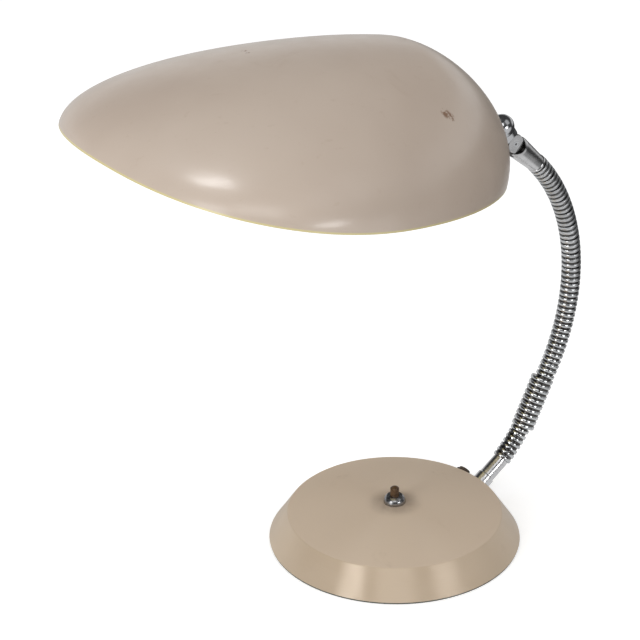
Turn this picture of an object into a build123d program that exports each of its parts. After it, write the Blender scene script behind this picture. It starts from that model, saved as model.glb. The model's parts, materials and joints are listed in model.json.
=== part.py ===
from build123d import *
from math import acos, asin, atan2, cos, degrees, hypot, pi, radians, sin, sqrt
import os

# A desk lamp: weighted round base, ribbed flexible neck, knuckle and a hood-shaped shade.
# Millimetres. The origin is at the centre of the base's underside, +Z is up, and the
# neck and the shade lie in the XZ plane, with the neck at +X and the shade's nose at -X.

# Base
foot_radius = 85.0
top_radius = 72.5
edge_height = 19.8
crown_rise = 7.0
sheet = 1.2
crease_radius = 1.5
hole_reach = 3.6
foot_trim = 0.1
felt_thickness = 1.2
felt_inset = 0.4
plate_thickness = 1.5
loose_fit = 0.3
weight_radius = 71.0
weight_bore = 24.0
weight_height = 9.0
weight_bay_depth = 15.0
weight_bay_width = 24.0
post_circle = 50.0
post_radius = 3.5
post_count = 3
post_start = 60.0
screw_radius = 2.0
screw_head = 3.4
screw_length = 10.0
thread_fit = 0.05

# Push switch
bushing_radius = 4.9
bushing_flange = 8.0
bushing_flange_height = 1.5
ring_foot_radius = 7.5
ring_top_radius = 5.2
ring_height = 5.0
ring_rim = 1.0
ring_waist = 3.3
ring_bulge = 0.5
switch_radius = 9.5
switch_height = 13.0
chamber_radius = 5.0
chamber_spare = 2.0
button_radius = 3.0
button_rise = 7.0
button_dome = 1.5
button_travel = 2.5
button_collar = 4.4
button_collar_height = 1.5
running_fit = 0.08
terminal_size = 2.0
terminal_length = 4.0
terminal_spacing = 9.0

# Holes in the base's slope
slope_seat = 6.4
gland_azimuth = 13.0
gland_bore = 2.8
gland_radius = 4.2
gland_flange = 5.2
gland_flange_height = 1.6
gland_length = 3.2

# Neck: ribs of one coil, cut into short rigid links with a ball in the next link's socket
rib_pitch = 3.83
rib_radius = 6.7
rib_depth = 0.8
rib_width = 2.43
rib_foot = 2.8
rib_chamfer = 0.3
link_ribs = 3
upper_links = 15
core_ribs = 12
neck_bore = 3.4
ball_radius = 5.3
ball_reach = 2.2
socket_radius = 5.65
socket_mouth_angle = 8.0
first_bend = 9.1
lower_bends = (6.6, 9.0)
upper_bend_start = 4.2
upper_bend_end = 5.5
last_bend = 6.5
core_neck_radius = 5.5
sleeve_ribs = 10
sleeve_radius = 8.1
sleeve_lean = 3.9

# Ferrules and the nipple that holds the neck
collar_radius = 6.2
collar_height = 6.5
ferrule_radius = 5.45
ferrule_length = 21.7
nipple_radius = 4.0
nipple_bore = 2.9
nipple_inside = 8.5
nipple_outside = 8.0
nut_flats = 11.5
nut_height = 4.0
nut_seat_gap = 0.35
upper_ferrule_length = 32.4
upper_ferrule_small = 6.2
upper_ferrule_large = 7.6
ferrule_bead = 0.4
ferrule_bead_height = 1.6

# Knuckle
ear_radius = 6.6
ear_outer = 5.0
ear_relief = 4.0
shoulder_drop = 7.0
ear_inner = 3.1
tongue_radius = 6.3
tongue_gap = 0.25
pin_radius = 2.0
pin_dimple = 0.8
pin_dimple_floor = 0.1
saddle_gap = 0.35
knuckle_lean = 122.8
knuckle_reach = 15.5
head_radius = 8.2
head_collar_radius = 6.7
head_collar_start = 5.5
head_seat = 6.0
elbow_socket = 4.0

# Shade: plan and side are powered ovals, widest near the nose and tallest near the back
shade_length = 306.5
shade_tilt = 15.0
widest = 99.0
half_width = 121.5
nose_plan_power = 2.4
tail_plan_power = 1.5
tallest = 207.5
shade_height = 83.0
nose_side_power = 1.57
tail_side_power = 1.55
shade_wall = 1.2
slice_count = 12
slice_points = 20
seam_point = 3
slice_overrun = 6.0
seat_height = 25.2
washer_radius = 8.0
washer_thickness = 1.2
washer_depth = 1.5
washer_gap = 0.2
saddle_radius = 33.0

# Elbow tube, lampholder and bulb inside the shade
elbow_radius = 5.0
elbow_bore = 3.6
elbow_straight = 9.0
elbow_bend_radius = 16.0
holder_rise = 12.0
shade_nut_flats = 14.0
shade_nut_height = 4.0
inner_washer_radius = 7.6
inner_washer_depth = 2.4
holder_radius = 19.0
holder_neck_radius = 9.0
holder_neck_height = 4.0
elbow_end = 2.0
bell_bulge = 7.0
bell_rise = 5.6
bell_wall_out = 1.6
bell_wall_up = 1.2
holder_bell_height = 18.0
holder_cap_height = 22.0
holder_height = 49.0
holder_wall = 2.0
spigot_height = 3.0
insert_radius = 15.0
insert_start = 14.0
insert_end = 23.0
shell_radius = 13.6
shell_wall = 0.4
shell_height = 20.0
contact_radius = 5.0
bulb_cap_radius = 13.0
bulb_cap_taper = 5.0
bulb_cap_height = 25.0
bulb_radius = 30.0
bulb_neck_radius = 14.0
bulb_neck_height = 6.0
bulb_centre = 98.0
bulb_wall = 1.0

across = Vector(0, 1, 0)


def heading(angle):
    """Unit vector in the lamp's own plane, at an angle above +X."""
    return Vector(cos(radians(angle)), 0, sin(radians(angle)))


def axis_plane(point, direction, side=across):
    """Sketch plane through an axis: x across the axis, y along it."""
    return Plane(origin=point, x_dir=side, z_dir=side.cross(direction))


def axis_of(plane):
    return Axis(plane.origin, plane.y_dir)


# Sizes that follow from the base
slope_run = foot_radius - top_radius
slope_drop = edge_height - felt_thickness
slope_length = hypot(slope_run, slope_drop)
slope_lean = degrees(atan2(slope_run, slope_drop))
crown_radius = (top_radius**2 + crown_rise**2) / (2 * crown_rise)
crown_top = edge_height + crown_rise


def crown_height(radius):
    """Height of the base's crowned top at a radius."""
    return crown_top - crown_radius + sqrt(crown_radius**2 - radius**2)


def inner_slope_radius(height):
    """Inside radius of the sloping side at a height."""
    outer = foot_radius - slope_run * (height - felt_thickness) / slope_drop
    return outer - sheet / cos(radians(slope_lean))


seat_radius = top_radius + slope_run * slope_seat / slope_length
seat_level = edge_height - slope_drop * slope_seat / slope_length


def slope_point(azimuth):
    a = radians(azimuth)
    return Vector(seat_radius * cos(a), seat_radius * sin(a), seat_level)


def slope_normal(azimuth):
    return heading(slope_lean).rotate(Axis.Z, azimuth)


def slope_side(azimuth):
    return across.rotate(Axis.Z, azimuth)


plate_top = felt_thickness + plate_thickness

# Base pieces
with BuildPart() as base_felt:
    with BuildSketch():
        Circle(foot_radius - felt_inset)
    extrude(amount=felt_thickness)

with BuildPart() as base_plate:
    with BuildSketch(Plane.XY.offset(felt_thickness)):
        Circle(inner_slope_radius(plate_top) - loose_fit)
    extrude(amount=plate_thickness)
    with Locations(Plane.XY.offset(felt_thickness).rotated((180, 0, 0))):
        with PolarLocations(post_circle, post_count, start_angle=post_start):
            CounterSinkHole(screw_radius + loose_fit, screw_head + loose_fit / 2, plate_thickness, 90)

with BuildPart() as base_screw:
    with BuildSketch(Plane.XZ):
        with BuildLine():
            Polyline(
                (0, felt_thickness),
                (screw_head, felt_thickness),
                (screw_radius, felt_thickness + screw_head - screw_radius),
                (screw_radius, felt_thickness + screw_length),
                (0, felt_thickness + screw_length),
                close=True,
            )
        make_face()
    revolve(axis=Axis.Z)

with BuildPart() as base_screws:
    with PolarLocations(post_circle, post_count, start_angle=post_start):
        add(base_screw.part)

with BuildPart() as base_weight:
    with BuildSketch(Plane.XY.offset(plate_top)):
        Circle(weight_radius)
        Circle(weight_bore, mode=Mode.SUBTRACT)
        with PolarLocations(post_circle, post_count, start_angle=post_start):
            Circle(post_radius + loose_fit, mode=Mode.SUBTRACT)
        for azimuth in (0, gland_azimuth):
            with PolarLocations(weight_radius, 1, start_angle=azimuth):
                Rectangle(2 * weight_bay_depth, weight_bay_width, mode=Mode.SUBTRACT)
    extrude(amount=weight_height)

with BuildPart() as base_cover:
    with BuildSketch(Plane.XZ):
        with BuildLine() as cover_line:
            top_arc = ThreePointArc(
                (0, crown_top),
                (top_radius / 2, crown_height(top_radius / 2)),
                (top_radius, edge_height),
            )
            Line(top_arc @ 1, (foot_radius + slope_run * foot_trim, felt_thickness - slope_drop * foot_trim))
            fillet(cover_line.vertices().sort_by(Axis.X)[1], crease_radius)
            offset(amount=sheet, side=Side.RIGHT)
        make_face()
    revolve(axis=Axis.Z)
    split(bisect_by=Plane.XY.offset(felt_thickness), keep=Keep.TOP)
    with BuildSketch(Plane.XY.offset(plate_top)):
        with PolarLocations(post_circle, post_count, start_angle=post_start):
            Circle(post_radius)
    extrude(amount=crown_height(post_circle) - sheet / 2 - plate_top)
    with BuildSketch(Plane.XY.offset(plate_top)):
        with PolarLocations(post_circle, post_count, start_angle=post_start):
            Circle(screw_radius + thread_fit)
    extrude(amount=screw_length, mode=Mode.SUBTRACT)
    with BuildSketch(Plane.XY.offset(crown_top)):
        Circle(bushing_radius + loose_fit / 2)
    extrude(amount=-hole_reach, mode=Mode.SUBTRACT)
    for azimuth, hole in ((0, nipple_radius + loose_fit / 2), (gland_azimuth, gland_radius)):
        with BuildSketch(Plane(origin=slope_point(azimuth), z_dir=slope_normal(azimuth))):
            Circle(hole)
        extrude(amount=hole_reach, both=True, mode=Mode.SUBTRACT)

# Push switch
bushing_top = crown_top + ring_height
flange_top = crown_height(bushing_flange) - sheet - running_fit
switch_top = flange_top - bushing_flange_height
switch_bottom = switch_top - switch_height
chamber_top = switch_top - bushing_flange_height
chamber_height = button_collar_height + button_travel + chamber_spare

with BuildPart() as switch_bushing:
    with BuildSketch(Plane.XY.offset(switch_top)):
        Circle(bushing_flange)
    extrude(amount=bushing_flange_height)
    with BuildSketch(Plane.XY.offset(flange_top)):
        Circle(bushing_radius)
    extrude(amount=bushing_top - flange_top)
    chamfer(switch_bushing.edges().group_by(Axis.Z)[-1], sheet / 4)
    with BuildSketch(Plane.XY.offset(switch_top)):
        Circle(button_radius + running_fit)
    extrude(amount=bushing_top - switch_top, mode=Mode.SUBTRACT)

with BuildPart() as switch_ring:
    with BuildSketch(Plane.XZ):
        with BuildLine():
            ring_bore = bushing_radius + thread_fit
            Polyline(
                (ring_bore, crown_top),
                (ring_foot_radius, crown_top),
                (ring_foot_radius, crown_top + ring_rim),
            )
            ThreePointArc(
                (ring_foot_radius, crown_top + ring_rim),
                ((ring_foot_radius + ring_top_radius) / 2 + ring_bulge, crown_top + ring_waist),
                (ring_top_radius, bushing_top),
            )
            Polyline((ring_top_radius, bushing_top), (ring_bore, bushing_top), (ring_bore, crown_top))
        make_face()
    revolve(axis=Axis.Z)

with BuildPart() as switch_body:
    with BuildSketch(Plane.XY.offset(switch_bottom)):
        Circle(switch_radius)
    extrude(amount=switch_height)
    chamfer(switch_body.edges().group_by(Axis.Z)[0], sheet)
    with BuildSketch(Plane.XY.offset(switch_top)):
        Circle(button_radius + running_fit)
    extrude(amount=chamber_top - switch_top, mode=Mode.SUBTRACT)
    with BuildSketch(Plane.XY.offset(chamber_top)):
        Circle(chamber_radius)
    extrude(amount=-chamber_height, mode=Mode.SUBTRACT)

with BuildPart() as switch_terminals:
    with BuildSketch(Plane.XY.offset(switch_bottom)):
        with GridLocations(terminal_spacing, 0, 2, 1):
            Rectangle(terminal_size, 2 * terminal_size)
    extrude(amount=-terminal_length)

with BuildPart() as switch_button:
    button_top = bushing_top + button_rise
    collar_top = chamber_top - running_fit
    dome_radius = (button_radius**2 + button_dome**2) / (2 * button_dome)
    dome_drop = dome_radius - sqrt(dome_radius**2 - (button_radius / 2) ** 2)
    with BuildSketch(Plane.XZ):
        with BuildLine():
            Polyline(
                (0, button_top),
                (0, collar_top - button_collar_height),
                (button_collar, collar_top - button_collar_height),
                (button_collar, collar_top),
                (button_radius, collar_top),
                (button_radius, button_top - button_dome),
            )
            ThreePointArc(
                (button_radius, button_top - button_dome),
                (button_radius / 2, button_top - dome_drop),
                (0, button_top),
            )
        make_face()
    revolve(axis=Axis.Z)

# Cord gland, empty
gland_point = slope_point(gland_azimuth)
gland_plane = axis_plane(gland_point, slope_normal(gland_azimuth), slope_side(gland_azimuth))
waist = gland_radius - loose_fit

with BuildPart() as cord_gland:
    with BuildSketch(gland_plane):
        with BuildLine():
            Polyline(
                (gland_bore, -sheet - nut_seat_gap - gland_flange_height),
                (gland_flange, -sheet - nut_seat_gap - gland_flange_height),
                (gland_flange, -sheet - nut_seat_gap),
                (waist, -sheet - nut_seat_gap),
                (waist, loose_fit / 2),
                (gland_flange, loose_fit / 2),
                (gland_flange, gland_flange_height),
                (waist, gland_flange_height + waist / 4),
                (gland_bore + sheet, gland_length),
                (gland_bore, gland_length),
                close=True,
            )
        make_face()
    revolve(axis=axis_of(gland_plane))

# Lower ferrule, its nipple and nut
foot_point = slope_point(0)
foot_plane = axis_plane(foot_point, heading(slope_lean))


half_gap = (rib_pitch - rib_width) / 2
ball_neck_angle = degrees(asin(half_gap / ball_radius))
ball_rim_angle = degrees(asin(ball_reach / ball_radius))
socket_bore_angle = degrees(acos(neck_bore / socket_radius))
socket_mouth = (
    socket_radius * cos(radians(socket_mouth_angle)),
    socket_radius * sin(radians(socket_mouth_angle)),
)


def ball_end(height):
    """Draw a ball end centred at a height, from its neck to the bore, and give its two ends."""
    arc = CenterArc((0, height), ball_radius, -ball_neck_angle, ball_neck_angle + ball_rim_angle)
    rim = Line(arc @ 1, (neck_bore, height + ball_reach))
    return arc @ 0, rim @ 1


def socket_end():
    """Draw a socket about height zero, from the bore out to its mouth, and give its bore end."""
    arc = CenterArc((0, 0), socket_radius, socket_mouth_angle, socket_bore_angle - socket_mouth_angle)
    return arc @ 1


def ribs(count, crest, start=0.0):
    """Outline of a run of ribs, from the lower edge of the first to the upper edge of the last."""
    points = []
    for number in range(count):
        middle = start + (number + 0.5) * rib_pitch
        foot, edge, flat = rib_foot / 2, rib_width / 2, rib_width / 2 - rib_chamfer
        rib = [
            (crest - rib_depth, middle - foot),
            (crest - rib_chamfer, middle - edge),
            (crest, middle - flat),
            (crest, middle + flat),
            (crest - rib_chamfer, middle + edge),
            (crest - rib_depth, middle + foot),
        ]
        points.extend(rib)
    return points[1:-1]


def neck_link(place, count):
    """One rigid stretch of the neck, with a socket below and a ball above."""
    point, angle = place
    plane = axis_plane(point, heading(angle))
    with BuildPart() as link:
        with BuildSketch(plane):
            with BuildLine():
                bore_point = socket_end()
                neck_point, rim_point = ball_end(count * rib_pitch)
                Polyline(socket_mouth, *ribs(count, rib_radius), neck_point)
                Line(rim_point, bore_point)
            make_face()
        revolve(axis=axis_of(plane))
    return link.part


with BuildPart() as lower_ferrule:
    with BuildSketch(foot_plane):
        with BuildLine():
            neck_point, rim_point = ball_end(ferrule_length)
            Polyline(
                rim_point,
                (neck_bore, nipple_outside),
                (nipple_radius + thread_fit, nipple_outside),
                (nipple_radius + thread_fit, 0),
                (collar_radius, 0),
                (collar_radius, collar_height - (collar_radius - ferrule_radius)),
                (ferrule_radius, collar_height),
                (ferrule_radius, ferrule_length - half_gap),
                neck_point,
            )
        make_face()
    revolve(axis=axis_of(foot_plane))

with BuildPart() as neck_nipple:
    nipple_start = foot_point - heading(slope_lean) * nipple_inside
    with BuildSketch(Plane(origin=nipple_start, z_dir=heading(slope_lean))):
        Circle(nipple_radius)
        Circle(nipple_bore, mode=Mode.SUBTRACT)
    extrude(amount=nipple_inside + nipple_outside - thread_fit)

with BuildPart() as neck_nut:
    nut_seat = foot_point - heading(slope_lean) * (sheet + nut_seat_gap)
    with BuildSketch(Plane(origin=nut_seat, x_dir=across, z_dir=-heading(slope_lean))):
        RegularPolygon(nut_flats / 2, 6, major_radius=False)
        Circle(nipple_radius + thread_fit, mode=Mode.SUBTRACT)
    extrude(amount=nut_height)

# Where each stretch of the neck starts, and the way it points
link_length = link_ribs * rib_pitch
core_length = core_ribs * rib_pitch
link_places = []
point = foot_point + heading(slope_lean) * ferrule_length
angle = slope_lean + first_bend
for bend in lower_bends:
    link_places.append((point, angle))
    point = point + heading(angle) * link_length
    angle = angle + bend
core_place = (point, angle)
point = point + heading(angle) * core_length
bend_growth = (upper_bend_end - upper_bend_start) / upper_links
for number in range(upper_links):
    angle = angle + upper_bend_start + bend_growth * number
    link_places.append((point, angle))
    point = point + heading(angle) * link_length
upper_pivot = point
ferrule_angle = angle + last_bend
knuckle_point = upper_pivot + heading(ferrule_angle) * upper_ferrule_length

neck_links = [neck_link(place, link_ribs) for place in link_places]

# The stiffened stretch: a plain core with a rib at each end, under a ribbed sleeve
core_plane = axis_plane(core_place[0], heading(core_place[1]))
sleeve_start = (core_ribs - sleeve_ribs) / 2 * rib_pitch
sleeve_end = sleeve_start + sleeve_ribs * rib_pitch
sleeve_middle = core_place[0] + heading(core_place[1]) * core_length / 2
sleeve_plane = axis_plane(sleeve_middle, heading(core_place[1] + sleeve_lean))

with BuildPart() as neck_core:
    with BuildSketch(core_plane):
        with BuildLine():
            bore_point = socket_end()
            neck_point, rim_point = ball_end(core_length)
            Polyline(
                socket_mouth,
                *ribs(1, rib_radius),
                (core_neck_radius, sleeve_start - half_gap),
                (core_neck_radius, sleeve_end + half_gap),
                *ribs(1, rib_radius, core_length - rib_pitch),
                neck_point,
            )
            Line(rim_point, bore_point)
        make_face()
    revolve(axis=axis_of(core_plane))

with BuildPart() as neck_sleeve:
    with BuildSketch(sleeve_plane):
        with BuildLine():
            edge_points = ribs(sleeve_ribs, sleeve_radius, -sleeve_ribs * rib_pitch / 2)
            Polyline((0, edge_points[0][1]), *edge_points, (0, edge_points[-1][1]), close=True)
        make_face()
    revolve(axis=axis_of(sleeve_plane))
    with BuildSketch(Plane(origin=sleeve_middle, z_dir=heading(core_place[1]))):
        Circle(core_neck_radius + thread_fit)
    extrude(amount=core_length, both=True, mode=Mode.SUBTRACT)


# Knuckle
def side_plane(place, angle):
    """Sketch plane in the lamp's own plane, with y along the heading."""
    return Plane(origin=place, x_dir=heading(angle - 90), z_dir=-across)


ferrule_plane = axis_plane(upper_pivot, heading(ferrule_angle))
shoulder = upper_ferrule_length - shoulder_drop

with BuildPart() as upper_ferrule:
    with BuildSketch(ferrule_plane):
        with BuildLine():
            bore_point = socket_end()
            Polyline(
                socket_mouth,
                (upper_ferrule_small + ferrule_bead, half_gap + ferrule_bead),
                (upper_ferrule_small + ferrule_bead, half_gap + ferrule_bead_height),
                (upper_ferrule_small, half_gap + ferrule_bead_height + ferrule_bead),
                (upper_ferrule_large, shoulder - ferrule_bead_height),
                (upper_ferrule_large, upper_ferrule_length + ear_radius),
                (0, upper_ferrule_length + ear_radius),
                (0, shoulder),
                (neck_bore, shoulder),
                bore_point,
            )
        make_face()
    revolve(axis=axis_of(ferrule_plane))
    with BuildSketch(side_plane(knuckle_point, ferrule_angle)):
        with Locations((0, -ear_radius / 2)):
            Rectangle(3 * ear_radius, upper_ferrule_length, align=(Align.CENTER, Align.MAX))
        Circle(ear_radius)
    extrude(amount=2 * ear_radius, both=True, mode=Mode.INTERSECT)
    with Locations(side_plane(knuckle_point, ferrule_angle)):
        with Locations((0, -shoulder_drop, 0)):
            Box(4 * ear_radius, 4 * ear_radius, 2 * ear_inner, align=(Align.CENTER, Align.MIN, Align.CENTER),
                mode=Mode.SUBTRACT)
        Cylinder(pin_radius + thread_fit, 4 * ear_outer, mode=Mode.SUBTRACT)
        with Locations((0, 0, ear_outer), (0, 0, -ear_outer - ear_relief)):
            Cylinder(ear_radius, ear_relief, align=(Align.CENTER, Align.CENTER, Align.MIN),
                     mode=Mode.SUBTRACT)

with BuildPart() as knuckle_pin:
    with Locations(side_plane(knuckle_point, ferrule_angle)):
        Cylinder(pin_radius, 2 * ear_outer)
        with Locations((0, 0, ear_outer)):
            Cone(pin_dimple_floor, pin_dimple, pin_dimple, align=(Align.CENTER, Align.CENTER, Align.MAX),
                 mode=Mode.SUBTRACT)
        with Locations((0, 0, -ear_outer)):
            Cone(pin_dimple, pin_dimple_floor, pin_dimple, align=(Align.CENTER, Align.CENTER, Align.MIN),
                 mode=Mode.SUBTRACT)


# The shade's frame, worked out from the knuckle and from the seat on the shade's back
def oval(along, length, fullest, size, nose_power, tail_power):
    """Half size of a powered oval at a distance from the nose."""
    if along < fullest:
        return size * (1 - (1 - along / fullest) ** nose_power) ** (1 / nose_power)
    return size * (1 - ((along - fullest) / (length - fullest)) ** tail_power) ** (1 / tail_power)


tail_length = shade_length - tallest
seat_share = (1 - (seat_height / shade_height) ** tail_side_power) ** (1 / tail_side_power)
seat_along = tallest + tail_length * seat_share
seat_angle = degrees(
    atan2(
        (seat_height / shade_height) ** (tail_side_power - 1) / shade_height,
        seat_share ** (tail_side_power - 1) / tail_length,
    )
)
shade_aft = heading(-shade_tilt)
shade_up = heading(90 - shade_tilt)
outward = heading(seat_angle - shade_tilt)
head_point = knuckle_point + heading(knuckle_lean) * knuckle_reach
wall_point = head_point - outward * (head_seat + washer_thickness)
shade_origin = wall_point - shade_aft * seat_along - shade_up * seat_height


def shade_point(along, up):
    return shade_origin + shade_aft * along + shade_up * up


with BuildPart() as knuckle_head:
    head_plane = axis_plane(knuckle_point, heading(knuckle_lean))
    with BuildSketch(head_plane):
        with BuildLine():
            side_edge = Line((head_collar_radius, head_collar_start), (head_collar_radius, knuckle_reach))
            Polyline(side_edge @ 1, (0, knuckle_reach), (0, head_collar_start), side_edge @ 0)
        make_face()
    revolve(axis=axis_of(head_plane))
    with Locations(head_point):
        Sphere(head_radius)
    with Locations(side_plane(knuckle_point, knuckle_lean)):
        Cylinder(ear_radius + saddle_gap, 4 * ear_outer, mode=Mode.SUBTRACT)
        Cylinder(tongue_radius, 2 * (ear_inner - tongue_gap))
        Box(2 * head_collar_start, knuckle_reach, 2 * (ear_inner - tongue_gap),
            align=(Align.CENTER, Align.MIN, Align.CENTER))
        Cylinder(pin_radius + running_fit, 4 * ear_outer, mode=Mode.SUBTRACT)
    split(bisect_by=Plane(origin=head_point - outward * head_seat, z_dir=outward), keep=Keep.TOP)
    with BuildSketch(Plane(origin=head_point - outward * head_seat, z_dir=outward)):
        Circle(elbow_radius + thread_fit)
    extrude(amount=elbow_socket, mode=Mode.SUBTRACT)


def hood_slice(up, wall):
    """Level slice of the hood set in by a wall; below the rim's plane the rim's own outline goes on."""
    length = shade_length - 2 * wall
    side_full = tallest - wall
    height = shade_height - wall
    share = max(up, 0) / height
    front = side_full * (1 - (1 - share**nose_side_power) ** (1 / nose_side_power))
    rear = side_full + (length - side_full) * (1 - share**tail_side_power) ** (1 / tail_side_power)
    points = []
    for number in range(slice_points):
        turn = (2 * pi * (number + seam_point) / slice_points) % (2 * pi)
        along = (front + rear) / 2 + (rear - front) / 2 * cos(turn)
        rise = oval(along, length, side_full, height, nose_side_power, tail_side_power)
        half = oval(along, length, widest - wall, half_width - wall, nose_plan_power, tail_plan_power)
        if rise > 0:
            half = half * sqrt(max(0, 1 - (max(up, 0) / rise) ** 2))
        points.append((along + wall, half if turn < pi else -half))
    with BuildSketch(Plane(origin=shade_point(0, up), x_dir=shade_aft, z_dir=shade_up)) as section:
        with BuildLine():
            Spline(*points, periodic=True)
        make_face()
    return section.sketch


def hood(wall, overrun):
    """Slices of the hood set in by a wall, up to its crown point, with any overrun below the rim."""
    sections = [hood_slice(up, wall) for up in overrun]
    for number in range(slice_count):
        sections.append(hood_slice((shade_height - wall) * sin(radians(90 * number / slice_count)), wall))
    sections.append(Vertex(*shade_point(tallest, shade_height - wall)))
    return sections


with BuildPart() as shade:
    loft(sections=hood(0, ()))
    loft(sections=hood(shade_wall, (-slice_overrun, -slice_overrun / 2)), mode=Mode.SUBTRACT)
    with BuildSketch(Plane(origin=head_point, z_dir=-outward)):
        Circle(elbow_radius + loose_fit / 2)
    extrude(amount=head_seat + hole_reach, mode=Mode.SUBTRACT)

# Saddle washers each side of the shade's wall, hollowed and rounded to follow it
saddle_line = heading(seat_angle - shade_tilt + 90)

with BuildPart() as shade_washer:
    with BuildSketch(Plane(origin=wall_point + outward * washer_thickness, z_dir=-outward)):
        Circle(washer_radius)
        Circle(elbow_radius + loose_fit / 2, mode=Mode.SUBTRACT)
    extrude(amount=washer_thickness + washer_depth)
    with Locations(Plane(origin=wall_point - outward * saddle_radius, z_dir=saddle_line)):
        Cylinder(saddle_radius + washer_gap, 4 * washer_radius, mode=Mode.SUBTRACT)

with BuildPart() as shade_inner_washer:
    with BuildSketch(Plane(origin=wall_point, z_dir=-outward)):
        Circle(inner_washer_radius)
        Circle(elbow_radius + loose_fit / 2, mode=Mode.SUBTRACT)
    extrude(amount=shade_wall + inner_washer_depth)
    with Locations(Plane(origin=wall_point - outward * saddle_radius, z_dir=saddle_line)):
        Cylinder(saddle_radius - shade_wall - 2 * washer_gap, 4 * washer_radius, mode=Mode.INTERSECT)

with BuildPart() as shade_nut:
    with BuildSketch(Plane(origin=wall_point - outward * (shade_wall + inner_washer_depth), z_dir=-outward)):
        RegularPolygon(shade_nut_flats / 2, 6, major_radius=False)
        Circle(elbow_radius + thread_fit, mode=Mode.SUBTRACT)
    extrude(amount=shade_nut_height)

# Elbow tube from the knuckle's head to the lampholder
elbow_start = head_point - outward * (head_seat - elbow_socket)
elbow_reach = elbow_socket + washer_thickness + elbow_straight
holder_heading = 180 - shade_tilt - holder_rise
elbow_turn = seat_angle - shade_tilt + 180 - holder_heading

with BuildPart() as shade_elbow:
    with BuildLine(Plane(origin=elbow_start, x_dir=-outward, z_dir=across)) as elbow_path:
        inlet = Line((0, 0), (elbow_reach, 0))
        elbow_bend = JernArc(inlet @ 1, inlet % 1, elbow_bend_radius, elbow_turn)
        Line(elbow_bend @ 1, elbow_bend @ 1 + (elbow_bend % 1) * (holder_neck_height + elbow_end))
    with BuildSketch(Plane(origin=elbow_start, z_dir=-outward)):
        Circle(elbow_radius)
        Circle(elbow_bore, mode=Mode.SUBTRACT)
    sweep()

# Lampholder, its axis on from the elbow's end
holder_point = elbow_bend @ 1
holder_plane = axis_plane(holder_point, heading(holder_heading))


def turned(*points):
    """A piece turned about the lampholder's axis, from its outline as radius and height."""
    with BuildPart() as piece:
        with BuildSketch(holder_plane):
            with BuildLine():
                Polyline(*points, close=True)
            make_face()
        revolve(axis=axis_of(holder_plane))
    return piece


holder_bore = holder_radius - holder_wall
skirt_start = holder_cap_height - spigot_height
spigot_bore = insert_radius + loose_fit
bell_middle = (holder_neck_radius + bell_bulge, holder_neck_height + bell_rise)

with BuildPart() as holder_cap:
    with BuildSketch(holder_plane):
        with BuildLine():
            Polyline(
                (elbow_radius + thread_fit, holder_neck_height + holder_wall),
                (elbow_radius + thread_fit, 0),
                (holder_neck_radius, 0),
                (holder_neck_radius, holder_neck_height),
            )
            ThreePointArc(
                (holder_neck_radius, holder_neck_height),
                bell_middle,
                (holder_radius, holder_bell_height),
            )
            Polyline(
                (holder_radius, holder_bell_height),
                (holder_radius, holder_cap_height),
                (holder_bore, holder_cap_height),
                (holder_bore, holder_bell_height),
            )
            ThreePointArc(
                (holder_bore, holder_bell_height),
                (bell_middle[0] - bell_wall_out, bell_middle[1] + bell_wall_up),
                (holder_neck_radius - holder_wall / 2, holder_neck_height + holder_wall),
            )
            Line(
                (holder_neck_radius - holder_wall / 2, holder_neck_height + holder_wall),
                (elbow_radius + thread_fit, holder_neck_height + holder_wall),
            )
        make_face()
    revolve(axis=axis_of(holder_plane))

holder_skirt = turned(
    (spigot_bore, skirt_start),
    (holder_bore - thread_fit, skirt_start),
    (holder_bore - thread_fit, holder_cap_height),
    (holder_radius, holder_cap_height),
    (holder_radius, holder_height),
    (holder_bore, holder_height),
    (holder_bore, holder_cap_height + spigot_height),
    (spigot_bore, holder_cap_height + spigot_height),
)

holder_insert = turned(
    (0, insert_start),
    (insert_radius, insert_start),
    (insert_radius, skirt_start - holder_wall),
    (holder_bore - loose_fit, skirt_start - holder_wall),
    (holder_bore - loose_fit, skirt_start),
    (insert_radius, skirt_start),
    (insert_radius, insert_end),
    (0, insert_end),
)

holder_shell = turned(
    (shell_radius, insert_end),
    (shell_radius + shell_wall, insert_end),
    (shell_radius + shell_wall, insert_end + shell_height),
    (shell_radius, insert_end + shell_height),
)

# Bulb
bulb_cap_end = insert_end + bulb_cap_height
bulb_cap = turned(
    (0, insert_end),
    (contact_radius, insert_end),
    (bulb_cap_radius, insert_end + bulb_cap_taper),
    (bulb_cap_radius, bulb_cap_end),
    (0, bulb_cap_end),
)

neck_end = bulb_cap_end + bulb_neck_height
tangent_reach = bulb_centre - neck_end


def bulb_half(radius, neck):
    """Half outline of a bulb: a neck, a cone tangent to the ball, and the ball."""
    lean = degrees(atan2(neck, tangent_reach) + acos(radius / hypot(neck, tangent_reach)))

    def on_ball(angle):
        return radius * sin(radians(angle)), bulb_centre - radius * cos(radians(angle))

    with BuildSketch(holder_plane) as outline:
        with BuildLine():
            Polyline((0, bulb_cap_end), (neck, bulb_cap_end), (neck, neck_end), on_ball(lean))
            ThreePointArc(on_ball(lean), on_ball(90 + lean / 2), (0, bulb_centre + radius))
            Line((0, bulb_centre + radius), (0, bulb_cap_end))
        make_face()
    return outline.sketch


with BuildPart() as bulb_glass:
    add(bulb_half(bulb_radius, bulb_neck_radius))
    revolve(axis=axis_of(holder_plane))
    add(bulb_half(bulb_radius - bulb_wall, bulb_neck_radius - bulb_wall))
    revolve(axis=axis_of(holder_plane), mode=Mode.SUBTRACT)

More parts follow.
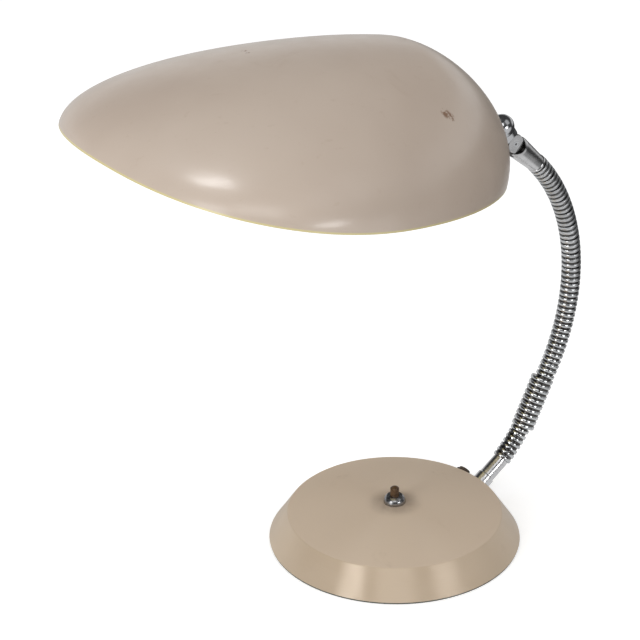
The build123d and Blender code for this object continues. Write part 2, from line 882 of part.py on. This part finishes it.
pieces = {
    "base_felt": base_felt,
    "base_plate": base_plate,
    "base_screws": base_screws,
    "base_weight": base_weight,
    "base_cover": base_cover,
    "switch_bushing": switch_bushing,
    "switch_ring": switch_ring,
    "switch_body": switch_body,
    "switch_terminals": switch_terminals,
    "switch_button": switch_button,
    "cord_gland": cord_gland,
    "lower_ferrule": lower_ferrule,
    "neck_nipple": neck_nipple,
    "neck_nut": neck_nut,
    "neck_core": neck_core,
    "neck_sleeve": neck_sleeve,
    "upper_ferrule": upper_ferrule,
    "knuckle_pin": knuckle_pin,
    "knuckle_head": knuckle_head,
    "shade_washer": shade_washer,
    "shade": shade,
    "shade_inner_washer": shade_inner_washer,
    "shade_nut": shade_nut,
    "shade_elbow": shade_elbow,
    "holder_cap": holder_cap,
    "holder_skirt": holder_skirt,
    "holder_insert": holder_insert,
    "holder_shell": holder_shell,
    "bulb_cap": bulb_cap,
    "bulb_glass": bulb_glass,
}

os.makedirs("parts", exist_ok=True)
for name, piece in pieces.items():
    piece.part.label = name
    export_step(piece.part, f"parts/{name}.step")
for number, link in enumerate(neck_links, start=1):
    link.label = f"neck_link_{number:02d}"
    export_step(link, f"parts/{link.label}.step")
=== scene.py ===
import json
import math

import bpy
from mathutils import Matrix, Vector

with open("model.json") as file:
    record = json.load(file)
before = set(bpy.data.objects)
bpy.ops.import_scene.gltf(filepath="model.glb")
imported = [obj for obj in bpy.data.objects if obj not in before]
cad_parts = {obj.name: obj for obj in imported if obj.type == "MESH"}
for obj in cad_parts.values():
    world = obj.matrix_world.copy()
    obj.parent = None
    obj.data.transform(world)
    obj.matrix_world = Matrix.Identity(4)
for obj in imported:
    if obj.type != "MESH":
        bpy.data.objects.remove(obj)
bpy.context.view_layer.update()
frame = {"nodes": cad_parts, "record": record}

JOINTS = frame["record"]["behaviour"]["joints"]
SLOTS = {entry["node"]: entry["material_slot"] for entry in frame["record"]["subparts"]}

# Camera, in the part's own frame
PHOTO_WIDTH = 640
SENSOR_WIDTH = 36
FOCAL_PIXELS = 2413.4
CLIP_NEAR = 0.05
CLIP_FAR = 50
CAMERA_AT = Vector((-0.8724, -1.0961, 0.8705))
PLANE_TURN = math.radians(36.5)
PITCH = math.radians(26.76)
ROLL = math.radians(-0.51)

# Level directions to the photograph's right and away from the camera
UP = Vector((0, 0, 1))
IMAGE_RIGHT = Vector((math.cos(PLANE_TURN), -math.sin(PLANE_TURN), 0))
AWAY = Vector((math.sin(PLANE_TURN), math.cos(PLANE_TURN), 0))


def camera():
    """The photograph's camera, in sharp focus everywhere."""
    forward = AWAY * math.cos(PITCH) - UP * math.sin(PITCH)
    upright = IMAGE_RIGHT.cross(forward)
    right = IMAGE_RIGHT * math.cos(ROLL) + upright * math.sin(ROLL)
    up = upright * math.cos(ROLL) - IMAGE_RIGHT * math.sin(ROLL)
    data = bpy.data.cameras.new("camera")
    data.sensor_width = SENSOR_WIDTH
    data.lens = FOCAL_PIXELS * SENSOR_WIDTH / PHOTO_WIDTH
    data.clip_start = CLIP_NEAR
    data.clip_end = CLIP_FAR
    seen = bpy.data.objects.new("camera", data)
    turn = Matrix((right, up, -forward)).transposed().to_4x4()
    seen.matrix_world = Matrix.Translation(CAMERA_AT) @ turn
    bpy.context.collection.objects.link(seen)
    bpy.context.scene.camera = seen


# Sockets of the colour mix node, by number because their names repeat
MIX_AMOUNT = 0
MIX_FIRST = 6
MIX_SECOND = 7
MIX_RESULT = 2

# Most of a noise lies between these values
NOISE_LOW = 0.3
NOISE_HIGH = 0.7

# Outputs of a span that falls
FALLING = (1.0, 0.0)


class Tree:
    """The nodes of a material or of the world, made by short calls."""

    def __init__(self, owner):
        owner.use_nodes = True
        self.nodes = owner.node_tree.nodes
        self.links = owner.node_tree.links
        self.place = self.nodes.new("ShaderNodeTexCoord")

    def put(self, value, socket):
        """Links another node's output to a socket, or sets a plain value there."""
        if hasattr(value, "is_output"):
            self.links.new(value, socket)
        else:
            socket.default_value = value

    def add(self, kind, inputs, **settings):
        node = self.nodes.new("ShaderNode" + kind)
        for setting, value in settings.items():
            setattr(node, setting, value)
        for socket, value in inputs.items():
            self.put(value, node.inputs[socket])
        return node

    def math(self, kind, a, b=0.0, clamp=False):
        return self.add("Math", {0: a, 1: b}, operation=kind, use_clamp=clamp).outputs[0]

    def vector(self, kind, a, b):
        """A sum, difference or product of two vectors that is a vector too."""
        return self.add("VectorMath", {0: a, 1: b}, operation=kind).outputs["Vector"]

    def dot(self, a, b):
        return self.add("VectorMath", {0: a, 1: b}, operation="DOT_PRODUCT").outputs["Value"]

    def distance(self, a, b):
        return self.add("VectorMath", {0: a, 1: b}, operation="DISTANCE").outputs["Value"]

    def mix(self, amount, first, second):
        inputs = {MIX_AMOUNT: amount, MIX_FIRST: first, MIX_SECOND: second}
        return self.add("Mix", inputs, data_type="RGBA").outputs[MIX_RESULT]

    def span(self, value, start, end, out=(0.0, 1.0)):
        """Goes smoothly from the first output to the second while the value goes from start to end."""
        inputs = {"Value": value, "From Min": start, "From Max": end, "To Min": out[0], "To Max": out[1]}
        return self.add("MapRange", inputs, interpolation_type="SMOOTHSTEP").outputs["Result"]

    def band(self, value, rise, fall):
        """One between a rise and a fall, each given by its start and end."""
        return self.math("MULTIPLY", self.span(value, *rise), self.span(value, *fall, out=FALLING))

    def seen_by(self, *kinds):
        """One for rays of the named kinds, such as camera rays."""
        path = self.add("LightPath", {})
        total = path.outputs[f"Is {kinds[0]} Ray"]
        for kind in kinds[1:]:
            total = self.math("MAXIMUM", total, path.outputs[f"Is {kind} Ray"])
        return total


class Surface(Tree):
    """A material, whose textures are placed in metres in the CAD model's rest frame."""

    def __init__(self, name, **sockets):
        self.material = bpy.data.materials.new(name)
        super().__init__(self.material)
        self.at = self.place.outputs["Object"]
        self.shader = self.nodes["Principled BSDF"]
        for socket, value in sockets.items():
            self.shader.inputs[socket.replace("_", " ")].default_value = value

    def noise(self, scale, detail=4.0, rough=0.55, warp=0.0, vector=None):
        inputs = {"Scale": scale, "Detail": detail, "Roughness": rough, "Distortion": warp}
        return self.add("TexNoise", inputs | {"Vector": vector or self.at}).outputs["Fac"]

    def near(self, point, radius, soft):
        """One inside a ball about a point, falling to nothing over the soft distance."""
        return self.span(self.distance(self.at, point), radius, radius + soft, out=FALLING)

    def axis(self, point, direction):
        """How far along an axis each place is, and how far from it."""
        arm = self.vector("SUBTRACT", self.at, point)
        across = self.vector("CROSS_PRODUCT", arm, direction)
        radius = self.add("VectorMath", {0: across}, operation="LENGTH").outputs["Value"]
        return self.dot(arm, direction), radius

    def mottled(self, noise, first, second, low=NOISE_LOW, high=NOISE_HIGH):
        """A colour that wanders between two with a noise."""
        return self.mix(self.span(noise, low, high), first, second)

    def marks(self, body, mark, noise, start, end, most):
        """A body colour with marks of another where a noise is high."""
        return self.mix(self.span(noise, start, end, out=(0, most)), body, mark)

    def colour(self, value):
        self.links.new(value, self.shader.inputs["Base Color"])

    def rough(self, value):
        self.links.new(value, self.shader.inputs["Roughness"])

    def uneven_gloss(self, noise, least, most, low=NOISE_LOW, high=NOISE_HIGH):
        self.rough(self.span(noise, low, high, out=(least, most)))

    def bump(self, height, depth):
        node = self.add("Bump", {"Strength": 1.0, "Distance": depth, "Height": height})
        self.links.new(node.outputs["Normal"], self.shader.inputs["Normal"])


def rgb(red, green, blue):
    """Linear colour from the values that a picture shows."""
    def linear(value):
        value = value / 255
        return value / 12.92 if value <= 0.04045 else ((value + 0.055) / 1.055) ** 2.4
    return linear(red), linear(green), linear(blue), 1.0


def grey(level):
    return level, level, level, 1


# Shade
TAUPE = rgb(181, 165, 151)
TAUPE_PALE = rgb(189, 174, 160)
TAUPE_FINE = rgb(170, 150, 132)
TAUPE_GRIME = rgb(168, 148, 130)
CHIP_BROWN = rgb(112, 84, 62)
SCUFF_BROWN = rgb(126, 96, 74)
CREAM = rgb(226, 214, 166)
CREAM_AGED = rgb(214, 198, 146)
RIM_CREAM = rgb(204, 192, 136)
ENAMEL_GRAIN = 0.00004
HOOD_MIDDLE = Vector((-0.07, 0, 0.283))

# Small chips: cells per metre, the size of a chip within its cell, and the noise where chips are
CHIP_CELLS = 95
CHIP_EDGE = (0.02, 0.06)
CHIPPED_AREAS = (0.58, 0.66)

# The cut edge lies where z + RIM_SLOPE * x is RIM_LEVEL, and cream shows this far above it
RIM_SLOPE = 0.2678
RIM_LEVEL = 0.2708
RIM_SOLID = 0.0009
RIM_END = 0.0016
RIM_COVER = 0.85

# Places and sizes of the scuffs that the photograph shows, each full in its core and fading around it
SCUFF_CORE = 0.5
SCUFF_FADE = 0.6
SCUFF_BREAKS = (0.42, 0.55)
SCUFFS = (
    ((-0.0192, -0.070, 0.3353), 0.0045),
    ((-0.0161, -0.0715, 0.3325), 0.0035),
    ((-0.0914, 0.0341, 0.3603), 0.0022),
    ((-0.0927, 0.028, 0.3611), 0.0018),
)


def shade_enamel():
    """Taupe outside, cream inside and along the cut edge, with grime, chips and scuffs."""
    tree = Surface("shade_enamel", Coat_Weight=0.55, Coat_Roughness=0.2, Specular_IOR_Level=0.5)
    mottle = tree.noise(9, detail=3, rough=0.5)
    body = tree.mottled(mottle, TAUPE, TAUPE_PALE)
    fine = tree.noise(160, detail=3, rough=0.6)
    body = tree.marks(body, TAUPE_FINE, fine, start=0.62, end=0.75, most=0.25)
    grime = tree.noise(26, detail=6, rough=0.7, warp=0.6)
    body = tree.marks(body, TAUPE_GRIME, grime, start=0.6, end=0.8, most=0.35)
    cells = tree.add("TexVoronoi", {"Scale": CHIP_CELLS, "Vector": tree.at}, feature="F1")
    chips = tree.span(cells.outputs["Distance"], *CHIP_EDGE, out=FALLING)
    chips = tree.math("MULTIPLY", chips, tree.span(tree.noise(14, detail=2), *CHIPPED_AREAS))
    body = tree.mix(chips, body, CHIP_BROWN)
    for point, size in SCUFFS:
        broken = tree.span(tree.noise(300, detail=3, rough=0.6), *SCUFF_BREAKS)
        scuff = tree.near(point, size * SCUFF_CORE, size * SCUFF_FADE)
        body = tree.mix(tree.math("MULTIPLY", scuff, broken), body, SCUFF_BROWN)
    rim_height = tree.math("SUBTRACT", tree.dot(tree.at, (RIM_SLOPE, 0, 1)), RIM_LEVEL)
    body = tree.mix(tree.span(rim_height, RIM_SOLID, RIM_END, out=(RIM_COVER, 0)), body, RIM_CREAM)
    outward = tree.vector("SUBTRACT", tree.at, HOOD_MIDDLE)
    inside = tree.math("LESS_THAN", tree.dot(outward, tree.place.outputs["Normal"]), 0.0)
    tree.colour(tree.mix(inside, body, tree.mottled(mottle, CREAM, CREAM_AGED)))
    tree.uneven_gloss(tree.noise(48, detail=5, rough=0.65), least=0.3, most=0.42)
    tree.bump(tree.noise(420, detail=2, rough=0.5), ENAMEL_GRAIN)
    return tree.material


# Base
BEIGE = rgb(196, 176, 152)
BEIGE_PALE = rgb(204, 185, 162)
# Painted light: the top is made lighter than the side, to make up for the shade's shadow on it
TOP_LIGHTENED_BEIGE = rgb(205, 186, 165)
BEIGE_GRIME = rgb(168, 146, 122)
# Browner and darker in a patch about the switch's foot
SWITCH_FOOT_BROWN = rgb(140, 122, 106)
TOP_NORMAL = (0.8, 0.95)
SWITCH_FOOT = (0, 0, 0.0268)
SWITCH_FOOT_RADIUS = 0.009
SWITCH_FOOT_FADE = 0.012
SIDE_METALLIC = 0.14
TOP_DULLER = 0.42

# The noise is squeezed along z, so it makes the level lines of turning
RING_SCALE = (30, 30, 1100)
RING_DEPTH = 0.0001


def base_enamel():
    """Beige with the stretched highlights of turned metal on its side, and a duller top painted lighter to
    make up for the shade's shadow on it.
    """
    tree = Surface("base_enamel", Anisotropic=0.95, Anisotropic_Rotation=0.25, Specular_IOR_Level=1.0)
    turned = tree.add("Tangent", {}, direction_type="RADIAL", axis="Z")
    tree.links.new(turned.outputs["Tangent"], tree.shader.inputs["Tangent"])
    facing_up = tree.span(tree.dot(tree.place.outputs["Normal"], UP), *TOP_NORMAL)
    metallic = tree.span(facing_up, 0, 1, out=(SIDE_METALLIC, 0))
    tree.links.new(metallic, tree.shader.inputs["Metallic"])
    body = tree.mottled(tree.noise(14, detail=3, rough=0.5), BEIGE, BEIGE_PALE)
    # Painted light: the top is made lighter than the side, to make up for the shade's shadow falling on it
    body = tree.mix(facing_up, body, TOP_LIGHTENED_BEIGE)
    grime = tree.noise(34, detail=6, rough=0.7, warp=0.5)
    body = tree.marks(body, BEIGE_GRIME, grime, start=0.6, end=0.8, most=0.3)
    # Browner and darker in a broken patch about the switch's foot
    switch_foot_patch = tree.near(SWITCH_FOOT, SWITCH_FOOT_RADIUS, SWITCH_FOOT_FADE)
    switch_foot_patch = tree.math("MULTIPLY", switch_foot_patch, tree.noise(90, detail=4, rough=0.6))
    tree.colour(tree.mix(switch_foot_patch, body, SWITCH_FOOT_BROWN))
    gloss = tree.span(tree.noise(60, detail=5, rough=0.6), NOISE_LOW, NOISE_HIGH, out=(0.3, 0.38))
    tree.rough(tree.math("ADD", gloss, tree.math("MULTIPLY", facing_up, TOP_DULLER), clamp=True))
    squeezed = tree.add("Mapping", {"Vector": tree.at, "Scale": RING_SCALE}).outputs["Vector"]
    tree.bump(tree.noise(1, detail=5, rough=0.7, vector=squeezed), RING_DEPTH)
    return tree.material


# Chrome, with painted shade as dark lines about the knuckle's pin and at the edge of its ears
RUST_BROWN = rgb(92, 66, 48)
SEAM_SHADE = rgb(40, 38, 37)
TINT = (0.72, 0.73, 0.75, 1)
WORN_TINT = (0.74, 0.74, 0.75, 1)
SWITCH_TINT = (0.4, 0.4, 0.41, 1)
CLOUDED = 0.86
CHROME_GRAIN = 0.00001
KNUCKLE_PIN = next(joint["pos_m"] for joint in JOINTS if joint["name"] == "shade_tilt")
EAR_RADIUS = 0.0066
EAR_SHADE_LINE = (0.0002, 0.0006)
PIN_SHADE_DOT = (0.0005, 0.0009)


def chrome(name, worn=0.0, tint=TINT):
    """Plated metal, with painted shade in the seam at the edge of the knuckle's ears and in the pin's
    dimple. Where it is more worn it has more rust and less gloss.
    """
    tree = Surface(name, Metallic=1.0)
    clouded = tuple(part * CLOUDED for part in tint[:3]) + (1,)
    bright = tree.mottled(tree.noise(70, detail=4, rough=0.6), tint, clouded, low=0.35)
    rust = tree.noise(130, detail=6, rough=0.75)
    bright = tree.marks(bright, RUST_BROWN, rust, start=0.64 - 0.1 * worn, end=0.78, most=0.2 + 0.5 * worn)
    radius = tree.axis(KNUCKLE_PIN, (0, 1, 0))[1]
    # Painted shade: a dark line in the seam at the edge of the ears, and a dark dot in the pin's dimple
    ear_edge_shade = tree.math("ABSOLUTE", tree.math("SUBTRACT", radius, EAR_RADIUS))
    ear_edge_shade = tree.span(ear_edge_shade, *EAR_SHADE_LINE, out=FALLING)
    seam_shade = tree.math("MAXIMUM", ear_edge_shade, tree.span(radius, *PIN_SHADE_DOT, out=FALLING))
    tree.colour(tree.mix(seam_shade, bright, SEAM_SHADE))
    gloss = tree.noise(110, detail=4, rough=0.6)
    tree.uneven_gloss(gloss, least=0.1 + 0.12 * worn, most=0.24 + 0.25 * worn, high=0.75)
    tree.bump(tree.noise(300, detail=3, rough=0.6), CHROME_GRAIN)
    return tree.material


# Ribs of the neck. Their pitch and crests are those of the CAD model
RIB_CHROME = rgb(226, 228, 230)
RIB_CLOUDED = rgb(204, 206, 208)
RIB_WORN = rgb(150, 140, 130)
# Grey for the grooves: painted shade, with some dirt and old oil
GROOVE_SHADE_AND_DIRT = rgb(88, 86, 84)
RIB_PITCH = 0.00383
RIB_SWELL = 0.0002
RIB_CREST = 0.0067
GROOVE_SOLID = 0.0008
GROOVE_END = 0.0003
SLEEVE_CREST = 0.0081
SLEEVE_LEAN = math.radians(3.9)

# The chrome grows duller from this link upwards
DULL_FROM = 5
DULL_STEP = 0.03
DULL_MOST = 0.22


def ribbed(name, point, direction, crest=RIB_CREST, dull=0.0):
    """Bright chrome on rounded ribs, with painted shade, and some dirt and old oil, in the grooves between
    them.
    """
    tree = Surface(name, Metallic=1.0)
    along, radius = tree.axis(point, direction)
    turn = tree.math("MULTIPLY", along, 2 * math.pi / RIB_PITCH)
    swell = tree.math("MULTIPLY", tree.math("COSINE", turn), -1.0)
    bright = tree.mottled(tree.noise(90, detail=4, rough=0.6), RIB_CHROME, RIB_CLOUDED, low=0.35)
    worn = tree.noise(210, detail=5, rough=0.7, warp=0.7)
    bright = tree.marks(bright, RIB_WORN, worn, start=0.6, end=0.74, most=0.45)
    # Painted shade with some dirt: grey in the grooves below the crests
    groove_shade_and_dirt = tree.span(radius, crest - GROOVE_SOLID, crest - GROOVE_END, out=FALLING)
    tree.colour(tree.mix(groove_shade_and_dirt, bright, GROOVE_SHADE_AND_DIRT))
    gloss = tree.noise(260, detail=4, rough=0.6)
    tree.uneven_gloss(gloss, least=0.1 + dull, most=0.2 + dull, high=0.75)
    tree.bump(swell, RIB_SWELL)
    return tree.material


def plain(name, dark, light, gloss, metallic=0.0, scale=120.0, grain=0.00004, **sockets):
    """A plain part's material: a slight mottle, uneven gloss and a fine grain."""
    tree = Surface(name, Metallic=metallic, **sockets)
    tree.colour(tree.mottled(tree.noise(scale, detail=4, rough=0.6), rgb(*dark), rgb(*light)))
    tree.uneven_gloss(tree.noise(scale * 2, detail=4, rough=0.6), *gloss)
    tree.bump(tree.noise(scale * 5, detail=3, rough=0.6), grain)
    return tree.material


# Plain parts by slot: picture values of two colours, the roughness's range, and what else differs
PLAIN_PARTS = {
    "zinc_steel": ((170, 170, 165), (196, 196, 190), (0.35, 0.5), dict(metallic=1.0)),
    "plate": ((150, 150, 146), (176, 176, 170), (0.4, 0.55), dict(metallic=1.0, scale=60)),
    "screws": ((160, 160, 155), (188, 188, 182), (0.3, 0.45), dict(metallic=1.0, scale=200)),
    "weight": ((52, 48, 46), (74, 68, 64), (0.7, 0.9), dict(metallic=0.6, scale=90, grain=0.0004)),
    "felt": ((76, 80, 75), (98, 102, 95), (0.92, 1.0), dict(scale=260, grain=0.0003)),
    "black_plastic": ((26, 25, 25), (38, 36, 35), (0.45, 0.6), {}),
    "brass": ((184, 148, 84), (208, 174, 108), (0.25, 0.4), dict(metallic=1.0, scale=150)),
    "button_plastic": ((60, 44, 30), (94, 70, 46), (0.22, 0.36), dict(scale=220)),
    "black_rubber": ((58, 48, 40), (84, 70, 58), (0.6, 0.8), dict(scale=180)),
    "holder_plastic": ((22, 20, 19), (34, 31, 30), (0.3, 0.42), {}),
    "porcelain": ((226, 222, 210), (236, 233, 224), (0.15, 0.25), dict(scale=50, grain=0.00003)),
    "bulb_metal": ((178, 178, 180), (202, 202, 204), (0.25, 0.4), dict(metallic=1.0, scale=140)),
    "bulb_glass": (
        (236, 233, 224), (244, 242, 236), (0.12, 0.2), dict(scale=40, grain=0.00001, Coat_Weight=0.3),
    ),
}

# Pivots by neck body. The core runs from its own to the next link's, and the last link rides on "upper"
PIVOTS = {joint["child"]: Vector(joint["pos_m"]) for joint in JOINTS if joint["name"].startswith("neck_")}
CORE_FOOT = PIVOTS["core"]
CORE_HEAD = PIVOTS["link_03"]
CORE_AXIS = (CORE_HEAD - CORE_FOOT).normalized()
LAST_LINK = 17


def middle_of(node):
    """The mean of a turned node's corners, which lies on its axis."""
    corners = [vertex.co for vertex in frame["nodes"][node].data.vertices]
    return sum(corners, Vector()) / len(corners)


def neck_finish(node):
    """The ribbed chrome of one stretch of the neck, about that stretch's own axis."""
    if node == "neck_core":
        return ribbed("chrome_core", CORE_FOOT, CORE_AXIS)
    if node == "neck_sleeve":
        lean = Matrix.Rotation(-SLEEVE_LEAN, 3, "Y")
        return ribbed("chrome_sleeve", (CORE_FOOT + CORE_HEAD) / 2, lean @ CORE_AXIS, SLEEVE_CREST)
    number = int(node[-2:])
    # The first link stands on the base, below the second one's pivot
    if number == 1:
        point = PIVOTS["link_02"]
        axis = point - middle_of(node)
    else:
        point = PIVOTS["upper" if number == LAST_LINK else f"link_{number:02d}"]
        axis = middle_of(node) - point
    dull = min(max(number - DULL_FROM, 0) * DULL_STEP, DULL_MOST)
    return ribbed(f"chrome_{number:02d}", point, axis.normalized(), dull=dull)


def dress():
    """Gives every node of the CAD model its material."""
    finishes = {
        "shade_enamel": shade_enamel(),
        "base_enamel": base_enamel(),
        "chrome": chrome("chrome"),
        "switch_chrome": chrome("switch_chrome", worn=0.5, tint=SWITCH_TINT),
        "worn_chrome": chrome("worn_chrome", worn=0.45, tint=WORN_TINT),
    }
    for slot, (dark, light, gloss, more) in PLAIN_PARTS.items():
        finishes[slot] = plain(slot, dark, light, gloss, **more)
    for node, thing in frame["nodes"].items():
        is_ribbed = node in ("neck_core", "neck_sleeve") or node.startswith("neck_link_")
        thing.data.materials.clear()
        thing.data.materials.append(neck_finish(node) if is_ribbed else finishes[SLOTS[node]])


# What metal sees of the floor and of the world
BRIGHT = grey(0.68)
DIM = grey(0.05)

# Floor, in metres from the base's middle and radians. The dim patch in front spreads from PATCH_RIGHT
FLOOR_HALF = 4.0
PATCH_RIGHT = 0.11
PATCH_TURN_RISE = (-0.2, -0.12)
PATCH_TURN_FALL = (0.45, 0.7)
PATCH_REACH_RISE = (0.17, 0.25)
PATCH_REACH_FALL = (0.3, 0.42)
SIDE_RIGHT = (0.22, 0.34)
SIDE_AWAY = (-0.12, 0.06)
PAPER = grey(0.8)
PAPER_PALE = grey(0.82)
PAPER_GLOW = grey(0.45)
BLACK = grey(0)


def floor():
    """White paper to the camera. Metal sees it bright, but dim in front of the lamp and to its right."""
    half = FLOOR_HALF
    corners = [(-half, -half, 0), (half, -half, 0), (half, half, 0), (-half, half, 0)]
    data = bpy.data.meshes.new("floor")
    data.from_pydata(corners, [], [(0, 1, 2, 3)])
    thing = bpy.data.objects.new("floor", data)
    bpy.context.collection.objects.link(thing)
    tree = Surface("floor_white")
    right = tree.dot(tree.at, IMAGE_RIGHT)
    away = tree.dot(tree.at, AWAY)
    ahead = tree.math("MULTIPLY", away, -1.0)
    aside = tree.math("SUBTRACT", right, PATCH_RIGHT)
    squares = tree.math("ADD", tree.math("POWER", aside, 2.0), tree.math("POWER", ahead, 2.0))
    turn = tree.band(tree.math("ARCTAN2", aside, ahead), PATCH_TURN_RISE, PATCH_TURN_FALL)
    reach = tree.band(tree.math("SQRT", squares), PATCH_REACH_RISE, PATCH_REACH_FALL)
    front = tree.math("MULTIPLY", turn, reach)
    side = tree.math("MULTIPLY", tree.span(right, *SIDE_RIGHT), tree.span(away, *SIDE_AWAY))
    mirrored = tree.mix(tree.math("MAXIMUM", front, side), BRIGHT, DIM)
    paper = tree.mix(tree.noise(3, detail=2), PAPER, PAPER_PALE)
    shine = tree.seen_by("Glossy", "Transmission")
    glow = tree.mix(tree.seen_by("Camera"), tree.mix(shine, BLACK, mirrored), PAPER_GLOW)
    diffuse = tree.add("BsdfDiffuse", {"Color": tree.mix(shine, paper, BLACK)})
    emission = tree.add("Emission", {"Color": glow})
    both = tree.add("AddShader", {0: diffuse.outputs[0], 1: emission.outputs[0]})
    tree.links.new(both.outputs[0], tree.nodes["Material Output"].inputs["Surface"])
    data.materials.append(tree.material)


# World. It lights the object more from the left than from the right
WORLD_LEFT = grey(0.75)
WORLD_RIGHT = grey(0.44)
BEHIND = (0.1, 0.6)
LOW_DOWN = (0.15, 0.45)
LEFTWARD = (-0.7, 0.7)
WHITE = grey(1)


def surroundings():
    """White to the camera. Metal sees it bright behind the lamp, low down, and dim elsewhere."""
    world = bpy.data.worlds.new("studio")
    bpy.context.scene.world = world
    tree = Tree(world)
    direction = tree.place.outputs["Generated"]
    behind = tree.span(tree.dot(direction, AWAY), *BEHIND)
    low_down = tree.span(tree.dot(direction, UP), *LOW_DOWN, out=FALLING)
    mirrored = tree.mix(tree.math("MULTIPLY", behind, low_down), DIM, BRIGHT)
    leftward = tree.span(tree.dot(direction, IMAGE_RIGHT), *LEFTWARD, out=FALLING)
    light = tree.mix(leftward, WORLD_RIGHT, WORLD_LEFT)
    level = tree.mix(tree.seen_by("Glossy", "Transmission"), light, mirrored)
    level = tree.mix(tree.seen_by("Camera"), level, WHITE)
    tree.links.new(level, tree.nodes["Background"].inputs["Color"])


# Lamps aim at one place. Azimuth 0 is over the camera and grows to the photograph's right
AIM = Vector((-0.02, 0, 0.2))
LAMPS = {
    "key": dict(azimuth=-41, elevation=15, distance=1.5, width=0.5, height=1.2, power=6.6),
    "overhead": dict(azimuth=-88, elevation=70, distance=1.5, width=0.26, height=0.38, power=4.1),
    "side": dict(azimuth=75, elevation=45, distance=1.5, width=0.9, height=0.9, power=1.2),
    "low_strip": dict(azimuth=46, elevation=9, distance=1.2, width=0.45, height=0.18, power=2.3),
    "fill": dict(azimuth=0, elevation=42, distance=1.6, width=0.9, height=0.7, power=3.3),
}


def lamp(name, azimuth, elevation, distance, width, height, power):
    """An area lamp, placed by angles in degrees and sizes in metres, with its power in watts."""
    azimuth = math.radians(azimuth)
    elevation = math.radians(elevation)
    flat = IMAGE_RIGHT * math.sin(azimuth) - AWAY * math.cos(azimuth)
    direction = flat * math.cos(elevation) + UP * math.sin(elevation)
    data = bpy.data.lights.new(name, "AREA")
    data.shape = "RECTANGLE"
    data.size = width
    data.size_y = height
    data.energy = power
    lit = bpy.data.objects.new(name, data)
    turn = (-direction).to_track_quat("-Z", "Y").to_matrix().to_4x4()
    lit.matrix_world = Matrix.Translation(AIM + direction * distance) @ turn
    bpy.context.collection.objects.link(lit)


camera()
dress()
floor()
surroundings()
for name, settings in LAMPS.items():
    lamp(name, **settings)

bpy.context.scene.view_settings.view_transform = "Standard"
